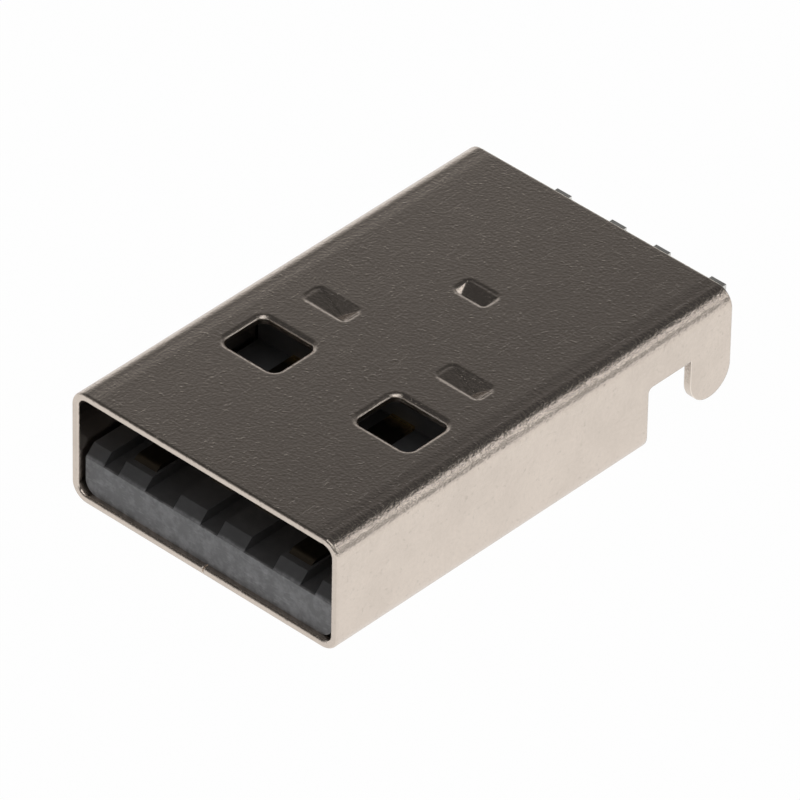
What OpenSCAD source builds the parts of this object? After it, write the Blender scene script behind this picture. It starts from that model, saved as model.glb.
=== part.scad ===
// USB-A plug for board mounting: a folded sheet shell, a moulded insulator and four contacts.
// Every module is drawn with the mating face at y = 0 and the rear at +Y, and placed() centres it.

/* [Shell] */
// Width of the shell outside
shell_w = 12; // [11.8:0.05:12.2]
// Height of the shell outside
shell_h = 4.5; // [4.4:0.05:4.6]
// Length of the shell from the mating face to its rear edge
shell_l = 18.95; // [18.5:0.05:19.5]
// Thickness of the sheet
sheet_t = 0.3; // [0.25:0.01:0.35]
// Outside radius of the four long bends
bend_r = 0.67; // [0.5:0.01:0.8]
// Rounding of the sheet at the mating rim
rim_r = 0.1; // [0.05:0.01:0.12]
// Gap where the two edges of the sheet meet along the underside
seam_gap = 0.06; // [0.04:0.01:0.1]

/* [Latch windows] */
// Width of a window across the plug
window_w = 2.5; // [2.3:0.05:2.7]
// Length of a window along the plug
window_l = 2.05; // [1.9:0.05:2.2]
// Distance between the centres of a pair of windows
window_pitch = 6; // [5.8:0.05:6.2]
// Mating face to the front edge of the windows
window_y = 5.16; // [5:0.02:5.3]
// Corner radius of a window
window_r = 0.35; // [0.2:0.05:0.5]

/* [Dimples] */
// Width of a pressed dimple
dimple_w = 1.85; // [1.5:0.05:2]
// Length of a pressed dimple
dimple_l = 1.0; // [0.8:0.05:1.1]
// Depth of a dimple at its lowest point
dimple_d = 0.3; // [0.2:0.01:0.35]
// Mating face to the middle of the front pair of dimples
dimple_front_y = 9.12; // [9.1:0.05:9.5]
// Mating face to the middle of the rear dimple
dimple_rear_y = 12.98; // [12:0.05:13.5]

/* [Board side] */
// Height of the board's top face above the underside of the plug
board_z = 2.2; // [2.1:0.05:2.3]
// Mating face to the step where the lower half of the shell ends
step_y = 14.9; // [14.5:0.05:15.2]
// Height of the side walls' lower edge behind the step
step_z = 2.65; // [2.6:0.05:2.8]
// Width of a solder leg along the plug
leg_w = 1.95; // [1.6:0.05:2.1]
// Height of the tips of the solder legs
leg_tip_z = 0.62; // [0.4:0.02:0.8]
// Diameter of the two locating pegs
peg_d = 1.0; // [0.8:0.05:1.2]
// Distance between the pegs
peg_pitch = 4.5; // [4.3:0.1:5]

/* [Tongue] */
// Width of the tongue
tongue_w = 11.15; // [11:0.05:11.2]
// Mating face to the front of the tongue
tongue_y = 0.24; // [0.15:0.01:0.4]
// Height of the tongue's lands above the underside of the plug
land_z = 2.1; // [2.05:0.01:2.15]
// Depth of the 45 degree ramp at the front of each land
ramp = 0.4; // [0.3:0.02:0.5]
// Width of a land under a contact
land_w = 1.2; // [1.1:0.05:1.4]
// Mating face to the front of the block behind the mouth
block_y = 8.45; // [8.3:0.05:8.5]

/* [Contacts] */
// Thickness of the contact strip
contact_t = 0.25; // [0.2:0.01:0.3]
// Width of a contact in the mouth
contact_w = 1.0; // [0.9:0.05:1.05]
// Width of a contact's solder tail
tail_w = 0.65; // [0.5:0.05:0.7]
// Height of the contact faces above the underside of the plug
contact_z = 2.25; // [2.2:0.01:2.3]
// Distance of the outer contacts from the middle
outer_x = 3.5; // [3.4:0.05:3.6]
// Distance of the inner contacts from the middle
inner_x = 1.0; // [0.95:0.05:1.1]
// Mating face to the tip of an outer contact
outer_tip_y = 1.24; // [1:0.02:1.5]
// Mating face to the tip of an inner contact
inner_tip_y = 2.24; // [2:0.02:2.5]
// Mating face to the end of the solder tails
tail_y = 21.15; // [20.9:0.05:21.4]

/* [Hidden] */
$fn = 48;

nickel = [0.72, 0.70, 0.67];
black_resin = [0.10, 0.10, 0.11];
gold = [0.86, 0.68, 0.32];

far = 40;                          // longer than any cut has to be
flat_w = shell_w - 2 * bend_r;     // flat width between the bends
flat_h = shell_h - 2 * bend_r;
inner_w = shell_w - 2 * sheet_t;
ceiling_z = shell_h - sheet_t;

window_flare = 0.07;               // rounding that the punch leaves round a window, as a chamfer

floor_end = step_y - 0.4;          // rear edge of the underside
step_corner_r = 0.4;               // lower rear corner of the side walls
step_fillet_r = 0.2;
leg_y = shell_l - leg_w;
leg_front_r = 0.6;
leg_rear_r = 1.0;

seam_locks = [3.4, 8.3, 12.0];     // where the dovetails of the seam stand
lock_l = 1.1;                      // dovetail at its root
lock_spread = 0.18;                // how much wider each side is at its head
lock_reach = 0.85;

dimple_x = window_pitch / 2;
dimple_corner_r = 0.28;
dimple_apex_x = 0.28;              // the lowest point is off the middle, towards the steep end
dimple_apex_y = 0.08;
punch_grow = 1.22;                 // the bulge under a dimple against its hollow

side_gap = 0.06;                   // block to the shell's side walls
block_w = inner_w - 2 * side_gap;
block_r = bend_r - sheet_t + 0.05;
block_end = shell_l - 0.25;
seat_pad_h = 0.1;                  // the board seat stands this far below the block's underside
seat_pad_w = 2.8;
tongue_r = 0.5;
rail_w = 0.8;                      // raised edge at each side of the tongue
pocket_l = 2.7;                    // length of the pockets between the lands
peg_y = 16.3;
peg_l = 1.0;
peg_lead = 0.15;
groove_w = tail_w + 0.15;          // grooves that guide the tails down the block's rear face
groove_d = 0.55;

nose_drop = 35;                    // the contact's nose turns down into the tongue by this angle
nose_l = 0.3;
bend_in_r = 0.15;                  // inside radius of every contact bend
jog_angle = 45;
jog_y = 10.6;                      // where the contact climbs inside the block
upper_z = 3.2;                     // top face of the contact behind the climb
drop_angle = 90;
tail_root_y = 15;                  // the narrow tail starts inside the wide strip
drop_y = 18.35;                    // where the tail turns down

module placed() translate([0, -tail_y / 2, 0]) children();

// ---- flat outlines ----

// What is left of a square corner of side r outside its quarter circle
module corner_waste(r)
    difference() {
        square(r);
        translate([r, r]) circle(r);
    }

// Rectangle w by h on the XY plane, centred, with round corners
module round_rect(w, h, r)
    union() {
        square([w - 2 * r, h], center = true);
        square([w, h - 2 * r], center = true);
        for (sx = [-1, 1], sy = [-1, 1])
            translate([sx * (w / 2 - r), sy * (h / 2 - r)]) circle(r);
    }

// Section through one wall of the sheet: t thick from x = x0, with a rounded rim at y = 0
module wall_section(x0)
    union() {
        translate([x0, rim_r]) square([sheet_t, shell_l - rim_r]);
        translate([x0 + rim_r, 0]) square([sheet_t - 2 * rim_r, rim_r]);
        for (x = [x0 + rim_r, x0 + sheet_t - rim_r]) translate([x, rim_r]) circle(rim_r);
    }

// ---- shell ----

// A flat wall of the tube, w wide, its outer face at the distance d from the axis
module flat_wall(w, d)
    translate([-w / 2, 0, 0]) rotate([90, 0, 90]) linear_extrude(w)
        translate([0, d - sheet_t]) mirror([1, 0]) rotate(90) wall_section(0);

// One long bend: the same section turned a quarter circle about the bend's axis
module long_bend()
    rotate([-90, 0, 0]) mirror([0, 1, 0])
        rotate_extrude(angle = 90) wall_section(bend_r - sheet_t);

// The closed tube, before anything is punched out of it
module tube()
    translate([0, 0, shell_h / 2])
        union() {
            for (a = [0, 180]) rotate([0, a, 0]) {
                flat_wall(flat_w, shell_h / 2);
                rotate([0, 90, 0]) flat_wall(flat_h, shell_w / 2);
                for (s = [0, 1]) mirror([s, 0, 0])
                    translate([flat_w / 2, 0, flat_h / 2]) long_bend();
            }
        }

// Window opening, cut downwards from z = 0, with a flared upper edge
module window_cut() {
    cx = window_w / 2 - window_r;
    cy = window_l / 2 - window_r;
    f = window_flare;
    translate([0, 0, -1]) linear_extrude(2) round_rect(window_w, window_l, window_r);
    for (sx = [-1, 1], sy = [-1, 1])
        translate([sx * cx, sy * cy, -f]) cylinder(h = 2 * f, r1 = window_r, r2 = window_r + 2 * f);
    rotate([90, 0, 0]) linear_extrude(2 * cy, center = true) flare_section(window_w, f);
    rotate([90, 0, 90]) linear_extrude(2 * cx, center = true) flare_section(window_l, f);
}

module flare_section(w, f)
    polygon([[-w / 2, -f], [w / 2, -f], [w / 2 + 2 * f, f], [-w / 2 - 2 * f, f]]);

module windows()
    for (side = [-1, 1], face = [0, 1])
        translate([side * window_pitch / 2, window_y + window_l / 2, face * shell_h])
            mirror([0, 0, 1 - face]) window_cut();

// Half space above a plane that falls from the edge at distance `run` to `depth` at the middle
module falling_side(dir, edge, run, depth)
    rotate([0, 0, dir]) translate([-edge, 0, 0]) rotate([0, atan(depth / run), 0])
        translate([-1, -far / 2, 0]) cube([far, far, far]);

// Lopsided pyramid hollow below z = 0, its lowest point towards +X
module dimple_form()
    intersection() {
        translate([0, 0, -1]) linear_extrude(1.02) round_rect(dimple_w, dimple_l, dimple_corner_r);
        falling_side(0, dimple_w / 2, dimple_w / 2 + dimple_apex_x, dimple_d);
        falling_side(180, dimple_w / 2, dimple_w / 2 - dimple_apex_x, dimple_d);
        falling_side(270, dimple_l / 2, dimple_l / 2 - dimple_apex_y, dimple_d);
        falling_side(90, dimple_l / 2, dimple_l / 2 + dimple_apex_y, dimple_d);
    }

// The three dimples' places: the rear one is turned the other way
module at_dimples() {
    for (side = [-1, 1]) translate([side * dimple_x, dimple_front_y, 0]) children();
    translate([0, dimple_rear_y, 0]) mirror([1, 0, 0]) children();
}

// Bulges under the dimples, which press into the housing
module bulges()
    at_dimples() translate([0, 0, ceiling_z]) scale(punch_grow) dimple_form();

// Side outline of what is cut away behind the step, drawn with y across and z up
module relief_outline() {
    difference() {
        translate([step_y, -1]) square([far, step_z + 1]);
        leg_outline();
        translate([step_y, step_z]) mirror([0, 1]) corner_waste(step_fillet_r);
        translate([leg_y, step_z]) mirror([1, 1]) rotate(90) corner_waste(step_fillet_r);
    }
    translate([step_y, 0]) mirror([1, 0]) corner_waste(step_corner_r);
}

module leg_outline()
    difference() {
        translate([leg_y, leg_tip_z]) square([leg_w, step_z - leg_tip_z + 1]);
        translate([leg_y, leg_tip_z]) corner_waste(leg_front_r);
        translate([shell_l, leg_tip_z]) mirror([1, 0]) corner_waste(leg_rear_r);
    }

module relief() {
    rotate([90, 0, 90]) linear_extrude(far, center = true) relief_outline();
    translate([-flat_w / 2, floor_end, -1]) cube([flat_w, far, 2]);
}

// Straight cut of the seam's width between two points on the underside
module seam_cut(a, b) {
    run = b - a;
    translate([a[0], a[1], -1]) rotate(atan2(run[1], run[0]))
        translate([-seam_gap / 2, -seam_gap / 2, 0]) cube([norm(run) + seam_gap, seam_gap, 2]);
}

// One dovetail of the seam, from its front root corner to its rear one
function lock_points(y) = [
    [0, y - lock_l / 2],
    [lock_reach, y - lock_l / 2 - lock_spread],
    [lock_reach, y + lock_l / 2 + lock_spread],
    [0, y + lock_l / 2]
];

function seam_points() = concat(
    [[0, -1]],
    [for (y = seam_locks) each lock_points(y)],
    [[0, step_y]]
);

module seam() {
    points = seam_points();
    for (i = [1 : len(points) - 1]) seam_cut(points[i - 1], points[i]);
}

module shell()
    color(nickel) placed() difference() {
        union() {
            tube();
            intersection() {
                bulges();
                translate([-shell_w / 2, 0, 0]) cube([shell_w, shell_l, ceiling_z + sheet_t / 2]);
            }
        }
        at_dimples() translate([0, 0, shell_h]) dimple_form();
        windows();
        relief();
        seam();
    }

// ---- contacts ----

// Straight run of strip along +X, top face on y = 0, w wide about z = 0
module run(l, w) translate([0, -contact_t, -w / 2]) cube([l, contact_t, w]);

// Bend of the strip through `a` degrees, upwards if a > 0, starting at the origin along +X
module turn(a, w) {
    r = bend_in_r;
    lift = a > 0 ? r : -contact_t - r;
    start = a > 0 ? -90 : 90 + a;
    translate([0, lift, -w / 2]) rotate(start) rotate_extrude(angle = abs(a))
        translate([r, 0]) square([contact_t, w]);
}

// Carries its children to the end of that bend
module after_turn(a) {
    c = a > 0 ? bend_in_r : -contact_t - bend_in_r;
    translate([0, c]) rotate(a) translate([0, -c]) children();
}

// Length taken along the strip by an S of two turns of `a` that climbs or falls by `rise`
function s_slope_l(a, rise) = (rise - s_bend_rise(a)) / sin(a);
function s_bend_rise(a) = (2 * bend_in_r + contact_t) * (1 - cos(a));
function s_total_l(a, rise) = (2 * bend_in_r + contact_t) * sin(a) + s_slope_l(a, rise) * cos(a);

// S of two turns: the strip goes on at the same angle, `rise` higher (a > 0) or lower (a < 0)
module s_bend(a, rise, w) {
    slope = s_slope_l(abs(a), rise);
    turn(a, w);
    after_turn(a) {
        run(slope, w);
        translate([slope, 0]) turn(-a, w);
    }
}

// One contact in its side view, tip first, as a strip of width w
module contact_strip(tip_y, w, tail) {
    jog_rise = upper_z - contact_z;
    jog_end = jog_y + s_total_l(jog_angle, jog_rise);
    drop = upper_z - (board_z + contact_t);
    drop_end = drop_y + s_total_l(drop_angle, drop);
    if (!tail) {
        translate([tip_y, contact_z]) {
            run(jog_y - tip_y, w);
            mirror([1, 0]) {
                turn(-nose_drop, w);
                after_turn(-nose_drop) run(nose_l, w);
            }
        }
        translate([jog_y, contact_z]) s_bend(jog_angle, jog_rise, w);
        translate([jog_end, upper_z]) run(block_end - groove_d - jog_end, w);
    }
    if (tail) {
        translate([tail_root_y, upper_z]) run(drop_y - tail_root_y, w);
        translate([drop_y, upper_z]) s_bend(-drop_angle, drop, w);
        translate([drop_end, board_z + contact_t]) run(tail_y - drop_end, w);
    }
}

module contact(x, tip_y)
    translate([x, 0, 0]) rotate([90, 0, 90]) {
        contact_strip(tip_y, contact_w, false);
        contact_strip(tip_y, tail_w, true);
    }

module contact_outer_left() color(gold) placed() contact(-outer_x, outer_tip_y);
module contact_inner_left() color(gold) placed() contact(-inner_x, inner_tip_y);
module contact_inner_right() color(gold) placed() contact(inner_x, inner_tip_y);
module contact_outer_right() color(gold) placed() contact(outer_x, outer_tip_y);

// ---- housing ----

// Tongue section across the plug, with round lower corners
module tongue_section()
    translate([0, sheet_t]) difference() {
        translate([-tongue_w / 2, 0]) square([tongue_w, land_z - sheet_t]);
        for (s = [0, 1]) mirror([s, 0]) translate([-tongue_w / 2, 0]) corner_waste(tongue_r);
    }

// Ramp that takes the upper front edge off the whole tongue
module front_ramp()
    translate([-far / 2, tongue_y, land_z - ramp]) rotate([45, 0, 0])
        cube([far, far, far]);

// Pockets between the lands: everything at the front that is not under a contact or at an edge
module pockets()
    difference() {
        translate([-tongue_w / 2 + rail_w, 0, land_z - ramp])
            cube([tongue_w - 2 * rail_w, tongue_y + pocket_l, far]);
        for (x = [-outer_x, -inner_x, inner_x, outer_x])
            translate([x - land_w / 2, -1, 0]) cube([land_w, far, far]);
    }

module tongue()
    difference() {
        translate([0, block_y, 0]) rotate([90, 0, 0])
            linear_extrude(block_y - tongue_y) tongue_section();
        front_ramp();
        pockets();
    }

// Block behind the mouth, stepped up over the board
module block()
    difference() {
        translate([0, block_end, shell_h / 2]) rotate([90, 0, 0])
            linear_extrude(block_end - block_y) round_rect(block_w, shell_h - 2 * sheet_t, block_r);
        difference() {
            translate([-far / 2, floor_end, -1]) cube([far, far, board_z + seat_pad_h + 1]);
            translate([-seat_pad_w / 2, floor_end, board_z]) cube([seat_pad_w, far, 1]);
        }
        for (x = [-outer_x, -inner_x, inner_x, outer_x])
            translate([x - groove_w / 2, block_end - groove_d, 0]) cube([groove_w, far, upper_z]);
        bulges();
    }

module peg()
    translate([0, peg_y, board_z]) mirror([0, 0, 1]) {
        translate([0, 0, -seat_pad_h - 0.2]) cylinder(h = peg_l - peg_lead + seat_pad_h + 0.2, d = peg_d);
        translate([0, 0, peg_l - peg_lead])
            cylinder(h = peg_lead, d1 = peg_d, d2 = peg_d - 2 * peg_lead);
    }

module housing()
    color(black_resin) placed() difference() {
        union() {
            tongue();
            block();
            for (s = [-1, 1]) translate([s * peg_pitch / 2, 0, 0]) peg();
        }
        for (s = [-1, 1]) {
            contact(s * outer_x, outer_tip_y);
            contact(s * inner_x, inner_tip_y);
        }
    }

shell();
housing();
contact_outer_left();
contact_inner_left();
contact_inner_right();
contact_outer_right();
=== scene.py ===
import math

import bmesh
import bpy
import numpy as np
from mathutils import Matrix, Vector


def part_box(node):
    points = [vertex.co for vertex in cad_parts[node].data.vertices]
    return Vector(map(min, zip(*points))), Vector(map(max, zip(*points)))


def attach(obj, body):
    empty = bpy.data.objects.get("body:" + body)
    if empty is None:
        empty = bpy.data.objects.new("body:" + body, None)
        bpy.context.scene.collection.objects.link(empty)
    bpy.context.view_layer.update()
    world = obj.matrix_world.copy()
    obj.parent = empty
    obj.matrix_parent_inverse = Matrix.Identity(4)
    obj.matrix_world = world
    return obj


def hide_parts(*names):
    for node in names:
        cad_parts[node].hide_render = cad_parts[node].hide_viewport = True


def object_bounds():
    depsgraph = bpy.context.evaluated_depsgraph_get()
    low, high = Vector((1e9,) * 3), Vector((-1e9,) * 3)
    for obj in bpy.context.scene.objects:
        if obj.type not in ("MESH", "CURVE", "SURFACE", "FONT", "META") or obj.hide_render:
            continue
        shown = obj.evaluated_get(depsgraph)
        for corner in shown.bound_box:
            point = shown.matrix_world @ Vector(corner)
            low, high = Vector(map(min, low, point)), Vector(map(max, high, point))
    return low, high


# Looks of a USB-A plug for board mounting: a plated sheet shell, a black moulded insulator and four contacts.
# Lengths are in metres. +X is to the right seen from the mating face, +Y runs to the rear and +Z is up.

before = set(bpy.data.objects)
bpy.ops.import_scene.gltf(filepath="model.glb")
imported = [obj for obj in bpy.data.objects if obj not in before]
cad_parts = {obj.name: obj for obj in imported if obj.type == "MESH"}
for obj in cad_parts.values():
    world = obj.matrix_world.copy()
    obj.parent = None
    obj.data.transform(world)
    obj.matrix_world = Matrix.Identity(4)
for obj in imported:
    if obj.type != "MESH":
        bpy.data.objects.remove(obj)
cad_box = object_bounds()

MM = 0.001


# ---- places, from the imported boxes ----

shell_lo, shell_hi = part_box("shell")
housing_lo, housing_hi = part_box("housing")
shell_mid = (shell_lo + shell_hi) / 2
shell_half = (shell_hi - shell_lo) / 2

BEND_R = 0.67 * MM                      # outside radius of the shell's long bends
DRAW = 0.55 * MM                        # width of the strip that sinks a little beside a bend
SHEET = 0.3 * MM
WINDOW_W, WINDOW_L, WINDOW_R = 2.5 * MM, 2.05 * MM, 0.35 * MM
PITCH = 6 * MM                          # between the windows, and between the front pair of dimples
WINDOW_Y = shell_lo.y + (5.16 + 2.05 / 2) * MM
PRESSED_Y, REAR_PRESSED_Y = shell_lo.y + 9.19 * MM, shell_lo.y + 12.97 * MM
WINDOW_ROLL_W, WINDOW_ROLL_H = 0.2 * MM, 0.085 * MM
FRONT_PRESSED = (1.94 * MM, 0.86 * MM, 0.3 * MM)    # width, length and depth
FRONT_RUNS = np.array([1.37, 0.28, 0.57, 0.36]) * MM    # of the walls: left, front, right, rear
REAR_PRESSED = (1.45 * MM, 0.84 * MM, 0.24 * MM)
REAR_RUNS = np.array([0.26, 0.18, 0.19, 0.66]) * MM
PRESSED_R = 0.25 * MM                   # corner radius of a dimple
PRESSED_ROLL_W, PRESSED_ROLL_H = 0.14 * MM, 0.03 * MM
STEEPEST = 2.0                          # slope of a dimple's wall at its outline
FILL = (1.91 * MM, 1.12 * MM, 1.1 * SHEET)    # block that fills a dimple of the CAD shell
FILL_SHIFT = 0.03 * MM                  # to the front, so that one block covers each CAD dimple
LEG_R = 0.975 * MM
LEG_Y, LEG_TIP_Z = shell_hi.y - LEG_R, shell_lo.z + 0.64 * MM
SMOOTH_BELOW = math.radians(32)         # faces that turn less than this shade as one surface
SQUARE, FLAT_SHARE = 0.999999, 1e5      # what counts as square to an axis, and how much more it weighs
HAIR = 0.001 * MM                       # lifts a cutter off the surface where it cuts nothing


# ---- shader trees written as expressions ----

class Wire:
    """A socket of a finish's node tree. Python's operators on it add Math nodes."""

    def __init__(self, finish, socket):
        self.finish = finish
        self.socket = socket

    def maths(self, operation, *others):
        return self.finish.node("ShaderNodeMath", {"operation": operation}, [self, *others])

    def after(self, operation, first):
        return self.finish.node("ShaderNodeMath", {"operation": operation}, [first, self])

    def __add__(self, other):
        return self.maths("ADD", other)

    def __sub__(self, other):
        return self.maths("SUBTRACT", other)

    def __mul__(self, other):
        return self.maths("MULTIPLY", other)

    def __truediv__(self, other):
        return self.maths("DIVIDE", other)

    __radd__ = __add__
    __rmul__ = __mul__

    def __rsub__(self, other):
        return self.after("SUBTRACT", other)

    def __rtruediv__(self, other):
        return self.after("DIVIDE", other)

    def size(self):
        return self.maths("ABSOLUTE")

    def most(self, other):
        return self.maths("MAXIMUM", other)


class Finish:
    """A material in the making, or the world's tree: its nodes, and the shader that they feed."""

    def __init__(self, name, shader=None, **constants):
        self.material = bpy.data.materials.new(name)
        self.material.use_nodes = True
        self.start(self.material.node_tree, shader, constants)

    def start(self, tree, shader, constants):
        self.tree = tree
        self.tree.nodes.clear()
        if shader:
            self.shader = self.tree.nodes.new(shader)
            self.set_sockets(self.shader, {k.replace("_", " "): v for k, v in constants.items()})

    def set_sockets(self, made, values):
        pairs = values.items() if isinstance(values, dict) else enumerate(values)
        for key, value in pairs:
            if isinstance(value, Wire):
                self.tree.links.new(value.socket, made.inputs[key])
            else:
                made.inputs[key].default_value = value

    def node(self, kind, settings=None, values=(), output=0):
        """Adds a node of that type: first its settings, then its sockets' values or links."""
        made = self.tree.nodes.new(kind)
        for key, value in (settings or {}).items():
            setattr(made, key, value)
        self.set_sockets(made, values)
        return Wire(self, made.outputs[output])

    def feed(self, **values):
        self.set_sockets(self.shader, {k.replace("_", " "): v for k, v in values.items()})

    def close(self, surface=None, target="ShaderNodeOutputMaterial"):
        end = self.tree.nodes.new(target)
        self.tree.links.new(surface.socket if surface else self.shader.outputs[0], end.inputs["Surface"])
        return self.material

    def place(self):
        return self.node("ShaderNodeTexCoord", output="Object")

    def axes(self, place):
        parts = self.node("ShaderNodeSeparateXYZ", values=[place]).socket.node
        return [Wire(self, socket) for socket in parts.outputs]

    def noise(self, place, size, detail=2.0, rough=0.5, stretch=(1, 1, 1), shift=0.0, output="Fac"):
        """Noise whose grains are about `size` across, longer by `stretch` along each axis."""
        moved = self.node("ShaderNodeMapping", {"vector_type": "POINT"}, {
            "Vector": place, "Location": (shift, shift * 0.7, shift * 1.3),
            "Scale": [1 / (size * s) for s in stretch]})
        return self.node("ShaderNodeTexNoise", {"noise_dimensions": "3D"}, {
            "Vector": moved, "Scale": 1.0, "Detail": detail, "Roughness": rough}, output)

    def ease(self, value, low, high):
        """0 below `low`, 1 above `high`, smooth between."""
        return self.node("ShaderNodeMapRange", {"interpolation_type": "SMOOTHSTEP"}, {
            "Value": value, "From Min": low, "From Max": high})

    def blend(self, first, second, share):
        return self.node("ShaderNodeMix", {"data_type": "RGBA"}, {0: share, 6: first, 7: second}, output=2)

    def bump(self, height, depth, strength=1.0, under=None):
        """Normal of a relief `height` (0 to 1) that is `depth` metres deep, laid over `under`."""
        values = {"Height": height, "Distance": depth, "Strength": strength}
        if under:
            values["Normal"] = under
        return self.node("ShaderNodeBump", values=values)

    def rounded_edges(self, radius):
        return self.node("ShaderNodeBevel", {"samples": 6}, {"Radius": radius})

    def edge_mask(self, rounded):
        """0 on the flats and 1 along edges, by how far the rounded normal leans from the face's own."""
        flat = self.node("ShaderNodeNewGeometry", output="Normal")
        lean = self.node("ShaderNodeVectorMath", {"operation": "DOT_PRODUCT"}, [rounded, flat], "Value")
        return self.ease(1 - lean, 0.01, 0.12)


# ---- finishes ----

NICKEL = (0.705, 0.62, 0.545, 1)
NICKEL_DULL = (0.555, 0.485, 0.425, 1)
NICKEL_RUBBED_PAINTED_HIGHLIGHT = (0.90, 0.82, 0.735, 1)
RESIN = (0.055, 0.055, 0.057, 1)
# paler resin for the tongue's front: painted light, with scuffs in its mottle
RESIN_SCUFF_AND_PAINTED_LIGHT = (0.18, 0.18, 0.186, 1)
RESIN_PALE_SCUFF_AND_PAINTED_LIGHT = (0.46, 0.46, 0.475, 1)
GOLD = (0.95, 0.70, 0.30, 1)
GOLD_WORN = (0.80, 0.55, 0.22, 1)
# painted shade: near-black gold for the contacts where the shell shades them
GOLD_PAINTED_SHADE = (0.055, 0.048, 0.037, 1)
TIN = (0.80, 0.79, 0.76, 1)
TIN_DULL = (0.58, 0.57, 0.54, 1)


def plated_sheet():
    """Satin nickel over rolled sheet: orange peel, grain, pits, cloudy patches, a dull sheared rim, and edges
    painted paler, both as rubbed plating and as painted highlight.
    """
    f = Finish("satin_nickel", "ShaderNodeBsdfPrincipled", Metallic=1.0, IOR=1.5)
    place = f.place()
    peel = f.noise(place, 0.115 * MM, detail=3, rough=0.6)
    grain = f.noise(place, 0.035 * MM, detail=2, rough=0.6, shift=3.0)
    cloud = f.noise(place, 1.8 * MM, detail=3, rough=0.6, shift=7.0)
    specks = f.ease(f.noise(place, 0.16 * MM, detail=1, shift=11.0), 0.66, 0.74)
    scratch = f.ease(f.noise(place, 0.05 * MM, detail=1, stretch=(1, 30, 1), shift=17.0), 0.70, 0.76)

    x, y, z = f.axes(place)
    # how far round a long bend the point is: 0 on the flats, 1 in the middle of the bend
    over_side = f.ease((x - shell_mid.x).size(), shell_half.x - BEND_R, shell_half.x - 0.3 * BEND_R)
    over_top = f.ease((z - shell_mid.z).size(), shell_half.z - BEND_R, shell_half.z - 0.3 * BEND_R)
    bend = over_side * over_top
    # the flats are crowned, and the strip beside a long bend sinks a little towards it
    sunk = 1 - f.ease((x - shell_mid.x).size(), shell_half.x - BEND_R - DRAW, shell_half.x - BEND_R)
    across = (x - shell_mid.x) / shell_half.x
    crown = 1 - across * across

    sheared = 1 - f.ease(y, shell_lo.y, shell_lo.y + 0.03 * MM)
    dull = f.ease(cloud, 0.35, 0.75) * 0.25 + specks * 0.3 + f.ease(peel, 0.35, 0.65) * 0.15 + sheared * 0.5
    edges = f.rounded_edges(0.08 * MM)
    worn_and_painted_highlight = f.edge_mask(edges)
    f.feed(
        # painted highlight with wear: the edges are paler, for rubbed plating and for the bright lines that
        # the edges' rounding throws
        Base_Color=f.blend(f.blend(NICKEL, NICKEL_DULL, dull), NICKEL_RUBBED_PAINTED_HIGHLIGHT, worn_and_painted_highlight * (1 - sheared)),
        Roughness=0.17 + cloud * 0.08 + grain * 0.06 + bend * 0.02 - worn_and_painted_highlight * 0.05,
    )
    relief = f.bump(sunk, 0.022 * MM, under=edges)
    relief = f.bump(crown, 0.08 * MM, under=relief)
    relief = f.bump(peel + bend * peel, 0.014 * MM, under=relief)
    relief = f.bump(grain, 0.0008 * MM, under=relief)
    relief = f.bump(specks - scratch * 0.5, 0.004 * MM, under=relief)
    f.feed(Normal=relief)
    return f.close()


def moulded_resin():
    """Black glass-filled resin: a mould's texture, and on the tongue's front a paler colour that is painted
    light from the white floor, mottled with scuffs and fibres.
    """
    f = Finish("black_resin", "ShaderNodeBsdfPrincipled", IOR=1.68)
    place = f.place()
    mottle = f.noise(place, 0.35 * MM, detail=4, rough=0.65)
    spark = f.noise(place, 0.05 * MM, detail=2, rough=0.6, shift=5.0)
    fibres = f.ease(f.noise(place, 0.07 * MM, detail=1, stretch=(5, 1, 1), shift=9.0), 0.62, 0.72)
    y = f.axes(place)[1]
    # painted light: the tongue's front face is made paler for the light it takes from the floor, with scuffs
    # and fibres in its mottle; a little of it lies everywhere
    front = 1 - f.ease(y, housing_lo.y + 0.02 * MM, housing_lo.y + 0.12 * MM)
    scuffs_and_painted_light = f.blend(RESIN_SCUFF_AND_PAINTED_LIGHT, RESIN_PALE_SCUFF_AND_PAINTED_LIGHT, f.ease(mottle, 0.38, 0.68) * 0.65 + fibres * 0.35)
    f.feed(
        Base_Color=f.blend(RESIN, scuffs_and_painted_light, front * 0.94 + 0.06),
        Roughness=0.42 + mottle * 0.2,
    )
    relief = f.bump(spark, 0.004 * MM)
    f.feed(Normal=f.bump(mottle, 0.012 * MM, under=relief))
    return f.close()


def contact_plating():
    """Gold inside the block, painted dark along the tongue as the shade inside the shell's mouth, and matt
    tin on the tails behind the block.
    """
    f = Finish("gold_and_tin", "ShaderNodeBsdfPrincipled", Metallic=1.0)
    place = f.place()
    x, y, z = f.axes(place)
    cloud = f.noise(place, 0.5 * MM, detail=3, rough=0.6)
    grain = f.noise(place, 0.03 * MM, detail=2, rough=0.6, stretch=(1, 4, 1), shift=4.0)
    line = housing_hi.y - 2.2 * MM
    tinned = f.ease(y + (cloud - 0.5) * (0.5 * MM), line - 0.05 * MM, line + 0.05 * MM)
    # painted shade: the contacts darken from the mouth back to just behind the windows, where the shell
    # shades them, and are rougher there
    painted_shade = 1 - f.ease(y + (cloud - 0.5) * (0.4 * MM), shell_lo.y + 7.8 * MM, shell_lo.y + 8.6 * MM)
    gold = f.blend(f.blend(GOLD, GOLD_WORN, f.ease(cloud, 0.4, 0.8)), GOLD_PAINTED_SHADE, painted_shade)
    tin = f.blend(TIN, TIN_DULL, f.ease(cloud, 0.35, 0.8))
    f.feed(
        Base_Color=f.blend(gold, tin, tinned),
        Roughness=0.16 + cloud * 0.1 + painted_shade * 0.25 + tinned * 0.28,
        Normal=f.bump(grain, 0.002 * MM, under=f.rounded_edges(0.03 * MM)),
    )
    return f.close()


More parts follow.
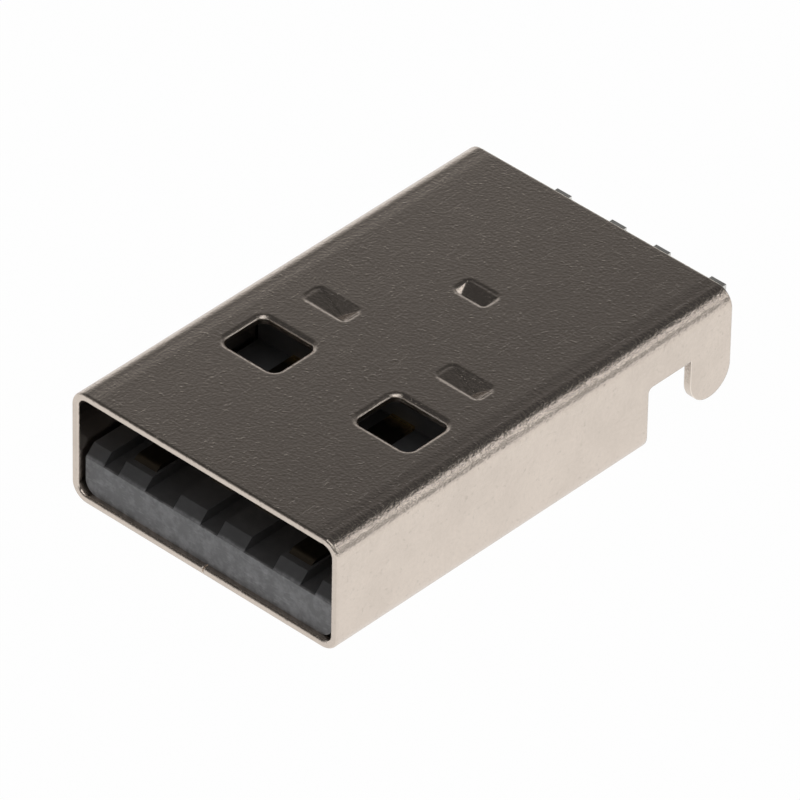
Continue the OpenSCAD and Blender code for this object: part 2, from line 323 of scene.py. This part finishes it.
# ---- shell, with its punched and pressed edges as the tools leave them ----

def prism_grid(bottom, top, name):
    """Closed solid between two grids of points of the same shape (rows, columns, 3), joined round the rim."""
    rows, columns = bottom.shape[:2]
    at = np.arange(rows * columns).reshape(rows, columns)
    quads = np.stack([at[:-1, :-1], at[:-1, 1:], at[1:, 1:], at[1:, :-1]], axis=-1).reshape(-1, 4)
    rim = np.concatenate([at[0, :-1], at[:-1, -1], at[-1, :0:-1], at[:0:-1, 0]])
    after = np.roll(rim, -1)
    shift = rows * columns
    walls = np.stack([rim, rim + shift, after + shift, after], axis=-1)
    faces = np.concatenate([quads, quads[:, ::-1] + shift, walls])
    points = np.concatenate([bottom.reshape(-1, 3), top.reshape(-1, 3)])
    mesh = bpy.data.meshes.new(name)
    mesh.from_pydata(points.tolist(), [], faces.tolist())
    return mesh


def outside(x, y, w, l, r):
    """Distance outside a w by l rectangle with corners of radius r, negative inside it."""
    qx, qy = np.abs(x) - w / 2 + r, np.abs(y) - l / 2 + r
    return np.hypot(np.maximum(qx, 0), np.maximum(qy, 0)) + np.minimum(np.maximum(qx, qy), 0) - r


def hollow(centre, reach, depth, name, steps=(72, 48)):
    """Cutter over the sheet's top: its underside lies as deep under the top as `depth(x, y)` says."""
    along_x, along_y = (np.linspace(-r, r, n) for r, n in zip(reach, steps))
    x, y = np.meshgrid(along_x, along_y, indexing="ij")
    under = shell_hi.z - np.maximum(depth(x, y), -0.03 * MM)
    low = np.stack([centre[0] + x, centre[1] + y, under], axis=-1)
    high = low.copy()
    high[..., 2] = shell_hi.z + 0.2 * MM
    return prism_grid(low, high, name)


def rolled(gap, width, fall):
    """Depth of an edge drawn down by a punch: `fall` at the edge, easing out as a parabola over `width`."""
    return fall * np.clip(1 - gap / width, 0, 1) ** 2 - HAIR


def window_roll(x, y):
    """The rolled edge, by the distance outside the window's outline."""
    gap = np.maximum(outside(x, y, WINDOW_W, WINDOW_L, WINDOW_R), 0)
    return rolled(gap, WINDOW_ROLL_W, WINDOW_ROLL_H)


def pressed(x, y, w, l, depth, runs):
    """The least of four walls that fall over `runs` to `depth`, or the rolled rim where that is deeper."""
    left, front, right, rear = runs
    walls = np.stack([(x + w / 2) / left, (y + l / 2) / front, (w / 2 - x) / right, (l / 2 - y) / rear])
    bowl = depth * walls.min(axis=0)
    gap = outside(x, y, w, l, PRESSED_R)
    bowl = np.minimum(bowl, -gap * STEEPEST)
    return np.maximum(bowl, rolled(np.maximum(gap, 0), PRESSED_ROLL_W, PRESSED_ROLL_H))


def front_dimple(x, y):
    """Four walls whose lowest point lies towards the right."""
    return pressed(x, y, *FRONT_PRESSED, FRONT_RUNS)


def rear_dimple(x, y):
    """Three steep walls, and one long floor that rises to the rear."""
    return pressed(x, y, *REAR_PRESSED, REAR_RUNS)


def leg_waste():
    """Strip across both legs between a half circle and a line below it, which leaves the legs' ends round."""
    turn = np.linspace(math.pi, 2 * math.pi, 49)
    y = LEG_Y + LEG_R * np.cos(turn)
    z = LEG_TIP_Z + LEG_R * (1 + np.sin(turn))
    y = np.concatenate([[y[0] - 0.1 * MM], y, [y[-1] + 0.1 * MM]])
    z = np.concatenate([[z[0]], z, [z[-1]]])
    across = np.array([shell_lo.x - 1 * MM, shell_hi.x + 1 * MM])
    arc = np.stack([np.repeat(across[:, None], y.size, 1), np.tile(y, (2, 1)), np.tile(z, (2, 1))], axis=-1)
    below = arc.copy()
    below[..., 2] = shell_lo.z + 0.3 * MM
    return prism_grid(below, arc, "leg_waste")


def block(centre, size, name):
    """Box of that size about `centre`, from the sheet's top down."""
    corners = np.array([-1, 1]) / 2
    x, y = np.meshgrid(corners * size[0], corners * size[1], indexing="ij")
    low = np.stack([centre[0] + x, centre[1] + y, np.full_like(x, shell_hi.z - size[2])], axis=-1)
    high = low.copy()
    high[..., 2] = shell_hi.z
    return prism_grid(low, high, name)


def combine(piece, meshes, operation):
    """Adds or takes away closed solids in one Boolean, and keeps the result as the piece's mesh."""
    both = bmesh.new()
    for mesh in meshes:
        both.from_mesh(mesh)
    tool_mesh = bpy.data.meshes.new("tool")
    both.to_mesh(tool_mesh)
    both.free()
    tool = bpy.data.objects.new("tool", tool_mesh)
    bpy.context.scene.collection.objects.link(tool)
    step = piece.modifiers.new("step", "BOOLEAN")
    step.operation, step.solver, step.object = operation, "MANIFOLD", tool
    made = bpy.data.meshes.new_from_object(piece.evaluated_get(bpy.context.evaluated_depsgraph_get()))
    piece.modifiers.remove(step)
    piece.data = made
    bpy.data.objects.remove(tool)
    for mesh in [tool_mesh, *meshes]:
        bpy.data.meshes.remove(mesh)


def even_normals(mesh, sharp):
    """Corner normals: the area-weighted mean of the faces at a vertex that turn less than `sharp`.

    Faces square to an axis weigh far more than the rest, so that the flats stay flat up to their edges.
    """
    count, corners = len(mesh.polygons), len(mesh.loops)
    facing, area = np.empty(count * 3), np.empty(count)
    sides, vertex = np.empty(count, dtype=int), np.empty(corners, dtype=int)
    mesh.polygons.foreach_get("normal", facing)
    mesh.polygons.foreach_get("area", area)
    mesh.polygons.foreach_get("loop_total", sides)
    mesh.loops.foreach_get("vertex_index", vertex)
    facing = facing.reshape(-1, 3)
    flat = np.abs(facing).max(axis=1) > SQUARE
    weight = (area / MM ** 2 + 1e-9) * np.where(flat, FLAT_SHARE, 1.0)
    face = np.repeat(np.arange(count), sides)
    order = np.argsort(vertex, kind="stable")
    point, normal, share = vertex[order], facing[face[order]], weight[face[order]]
    total = normal * share[:, None]
    for step in range(1, int(np.bincount(vertex).max())):
        near = (normal[step:] * normal[:-step]).sum(axis=1) > math.cos(sharp)
        alike = near & (point[step:] == point[:-step])
        total[:-step] += np.where(alike, share[step:], 0)[:, None] * normal[step:]
        total[step:] += np.where(alike, share[:-step], 0)[:, None] * normal[:-step]
    total /= np.linalg.norm(total, axis=1, keepdims=True)
    given = np.empty_like(total)
    given[order] = total
    mesh.polygons.foreach_set("use_smooth", np.ones(count, dtype=bool))
    mesh.normals_split_custom_set(given.tolist())


def finished_shell(material):
    """The CAD shell's copy, with its dimples pressed anew, its windows' edges rolled and its legs rounded."""
    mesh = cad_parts["shell"].data.copy()
    whole = bmesh.new()
    whole.from_mesh(mesh)
    bmesh.ops.remove_doubles(whole, verts=whole.verts, dist=1e-7)
    whole.to_mesh(mesh)
    whole.free()
    shell = bpy.data.objects.new("folded_shell", mesh)
    bpy.context.scene.collection.objects.link(shell)
    places = [(-PITCH / 2, PRESSED_Y), (PITCH / 2, PRESSED_Y), (0, REAR_PRESSED_Y)]
    combine(shell, [block((x, y - FILL_SHIFT), FILL, "fill") for x, y in places], "UNION")
    cutters = [hollow(place, (1.15 * MM, 0.6 * MM), front_dimple, "press") for place in places[:2]]
    cutters.append(hollow(places[2], (0.95 * MM, 0.6 * MM), rear_dimple, "press"))
    for x in (-PITCH / 2, PITCH / 2):
        cutters.append(hollow((x, WINDOW_Y), (1.5 * MM, 1.3 * MM), window_roll, "roll"))
    combine(shell, [*cutters, leg_waste()], "DIFFERENCE")
    mesh = shell.data
    mesh.materials.clear()
    mesh.materials.append(material)
    even_normals(mesh, SMOOTH_BELOW)
    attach(shell, "root")
    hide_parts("shell")


def dress(node, material):
    """Gives every slot of a CAD node that finish."""
    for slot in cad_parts[node].material_slots:
        slot.material = material


nickel = plated_sheet()
dress("shell", nickel)
finished_shell(nickel)
dress("housing", moulded_resin())
contact_finish = contact_plating()
for side in ("outer_left", "inner_left", "inner_right", "outer_right"):
    dress("contact_" + side, contact_finish)


# ---- floor, world, lamps and camera ----

def seen_directly(f):
    """1 for what the camera sees directly, in a mirror or through glass, and 0 for stray light."""
    path = f.node("ShaderNodeLightPath").socket.node.outputs
    rays = [Wire(f, path[name]) for name in ("Is Camera Ray", "Is Glossy Ray", "Is Transmission Ray")]
    return rays[0].most(rays[1]).most(rays[2])


def pale_floor(half_side):
    corners = np.array([(-1, -1), (1, -1), (1, 1), (-1, 1)]) * half_side
    low = cad_box[0].z - 0.01 * MM
    mesh = bpy.data.meshes.new("floor")
    mesh.from_pydata([(x, y, low) for x, y in corners.tolist()], [], [(0, 1, 2, 3)])
    floor = bpy.data.objects.new("floor", mesh)
    bpy.context.scene.collection.objects.link(floor)
    f = Finish("white_floor", "ShaderNodeBsdfDiffuse", Color=(0.9, 0.9, 0.9, 1))
    glow = f.node("ShaderNodeEmission", values={"Color": (1, 1, 1, 1), "Strength": 1.0})
    surface = f.node("ShaderNodeMixShader", values=[
        seen_directly(f) * 0.985, Wire(f, f.shader.outputs[0]), glow])
    mesh.materials.append(f.close(surface))


def dim_room(tint):
    """A warm room, dark overhead, paler half-way down, brightest low on the left, and white to the camera."""
    world = bpy.data.worlds.new("room")
    bpy.context.scene.world = world
    world.use_nodes = True
    f = Finish.__new__(Finish)
    f.start(world.node_tree, None, {})
    camera = Wire(f, f.node("ShaderNodeLightPath").socket.node.outputs["Is Camera Ray"])
    x, y, z = f.axes(f.node("ShaderNodeTexCoord", output="Generated"))
    half_way = 1 - f.ease(z, 0.45, 0.85)
    low_left = (1 - f.ease(z, 0.0, 0.46)) * f.ease(0 - x, 0.1, 0.6)
    behind = 0.6 + f.ease(y, -0.5, 0.3) * 0.4
    level = (0.04 + half_way * 0.13 + low_left * 0.75) * behind
    room = f.node("ShaderNodeBackground", values={
        "Color": f.blend((0, 0, 0, 1), (*tint, 1), level), "Strength": 1.0})
    white = f.node("ShaderNodeBackground", values={"Color": (1, 1, 1, 1), "Strength": 1.0})
    f.material = world
    f.close(f.node("ShaderNodeMixShader", values=[camera, room, white]), "ShaderNodeOutputWorld")


def softbox(name, towards, distance, size, radiance):
    """Rectangular lamp in that direction from the shell, facing it; its power follows from its radiance."""
    lamp = bpy.data.lights.new(name, "AREA")
    lamp.shape = "RECTANGLE"
    lamp.size, lamp.size_y = size
    lamp.energy = radiance * math.pi * size[0] * size[1]
    box = bpy.data.objects.new(name, lamp)
    bpy.context.scene.collection.objects.link(box)
    back = Vector(towards).normalized()
    box.location = shell_mid + back * distance
    box.rotation_mode = "QUATERNION"
    box.rotation_quaternion = back.to_track_quat("Z", "Y")


def camera_at(azimuth, elevation, roll, distance, lens, aim):
    """Camera at those angles round `aim`; azimuth 0 looks along +Y, and roll turns it clockwise."""
    a, e, r = (math.radians(angle) for angle in (azimuth, elevation, roll))
    back = Vector((math.sin(a) * math.cos(e), -math.cos(a) * math.cos(e), math.sin(e)))
    level = (-back).cross(Vector((0, 0, 1))).normalized()
    above = level.cross(-back)
    right = level * math.cos(r) + above * math.sin(r)
    up = above * math.cos(r) - level * math.sin(r)
    data = bpy.data.cameras.new("camera")
    data.lens = lens
    data.sensor_width = 36
    data.clip_start, data.clip_end = 0.01, 10
    camera = bpy.data.objects.new("camera", data)
    bpy.context.scene.collection.objects.link(camera)
    turn = Matrix((right, up, back)).transposed().to_4x4()
    camera.matrix_world = Matrix.Translation(aim + back * distance) @ turn
    bpy.context.scene.camera = camera


pale_floor(0.6)
dim_room((1.0, 0.99, 0.985))
softbox("softbox_right", (0.65, 0.57, 0.485), 0.35, (0.25, 0.10), 1.5)
softbox("softbox_above", (0.30, -0.30, 0.90), 0.45, (0.35, 0.35), 1.5)
camera_at(42.59, 37.83, 1.106, 0.37007, 505.47, shell_mid + Vector((0.0495, -0.192, -0.154)) * MM)

view = bpy.context.scene.view_settings
view.view_transform = "Standard"
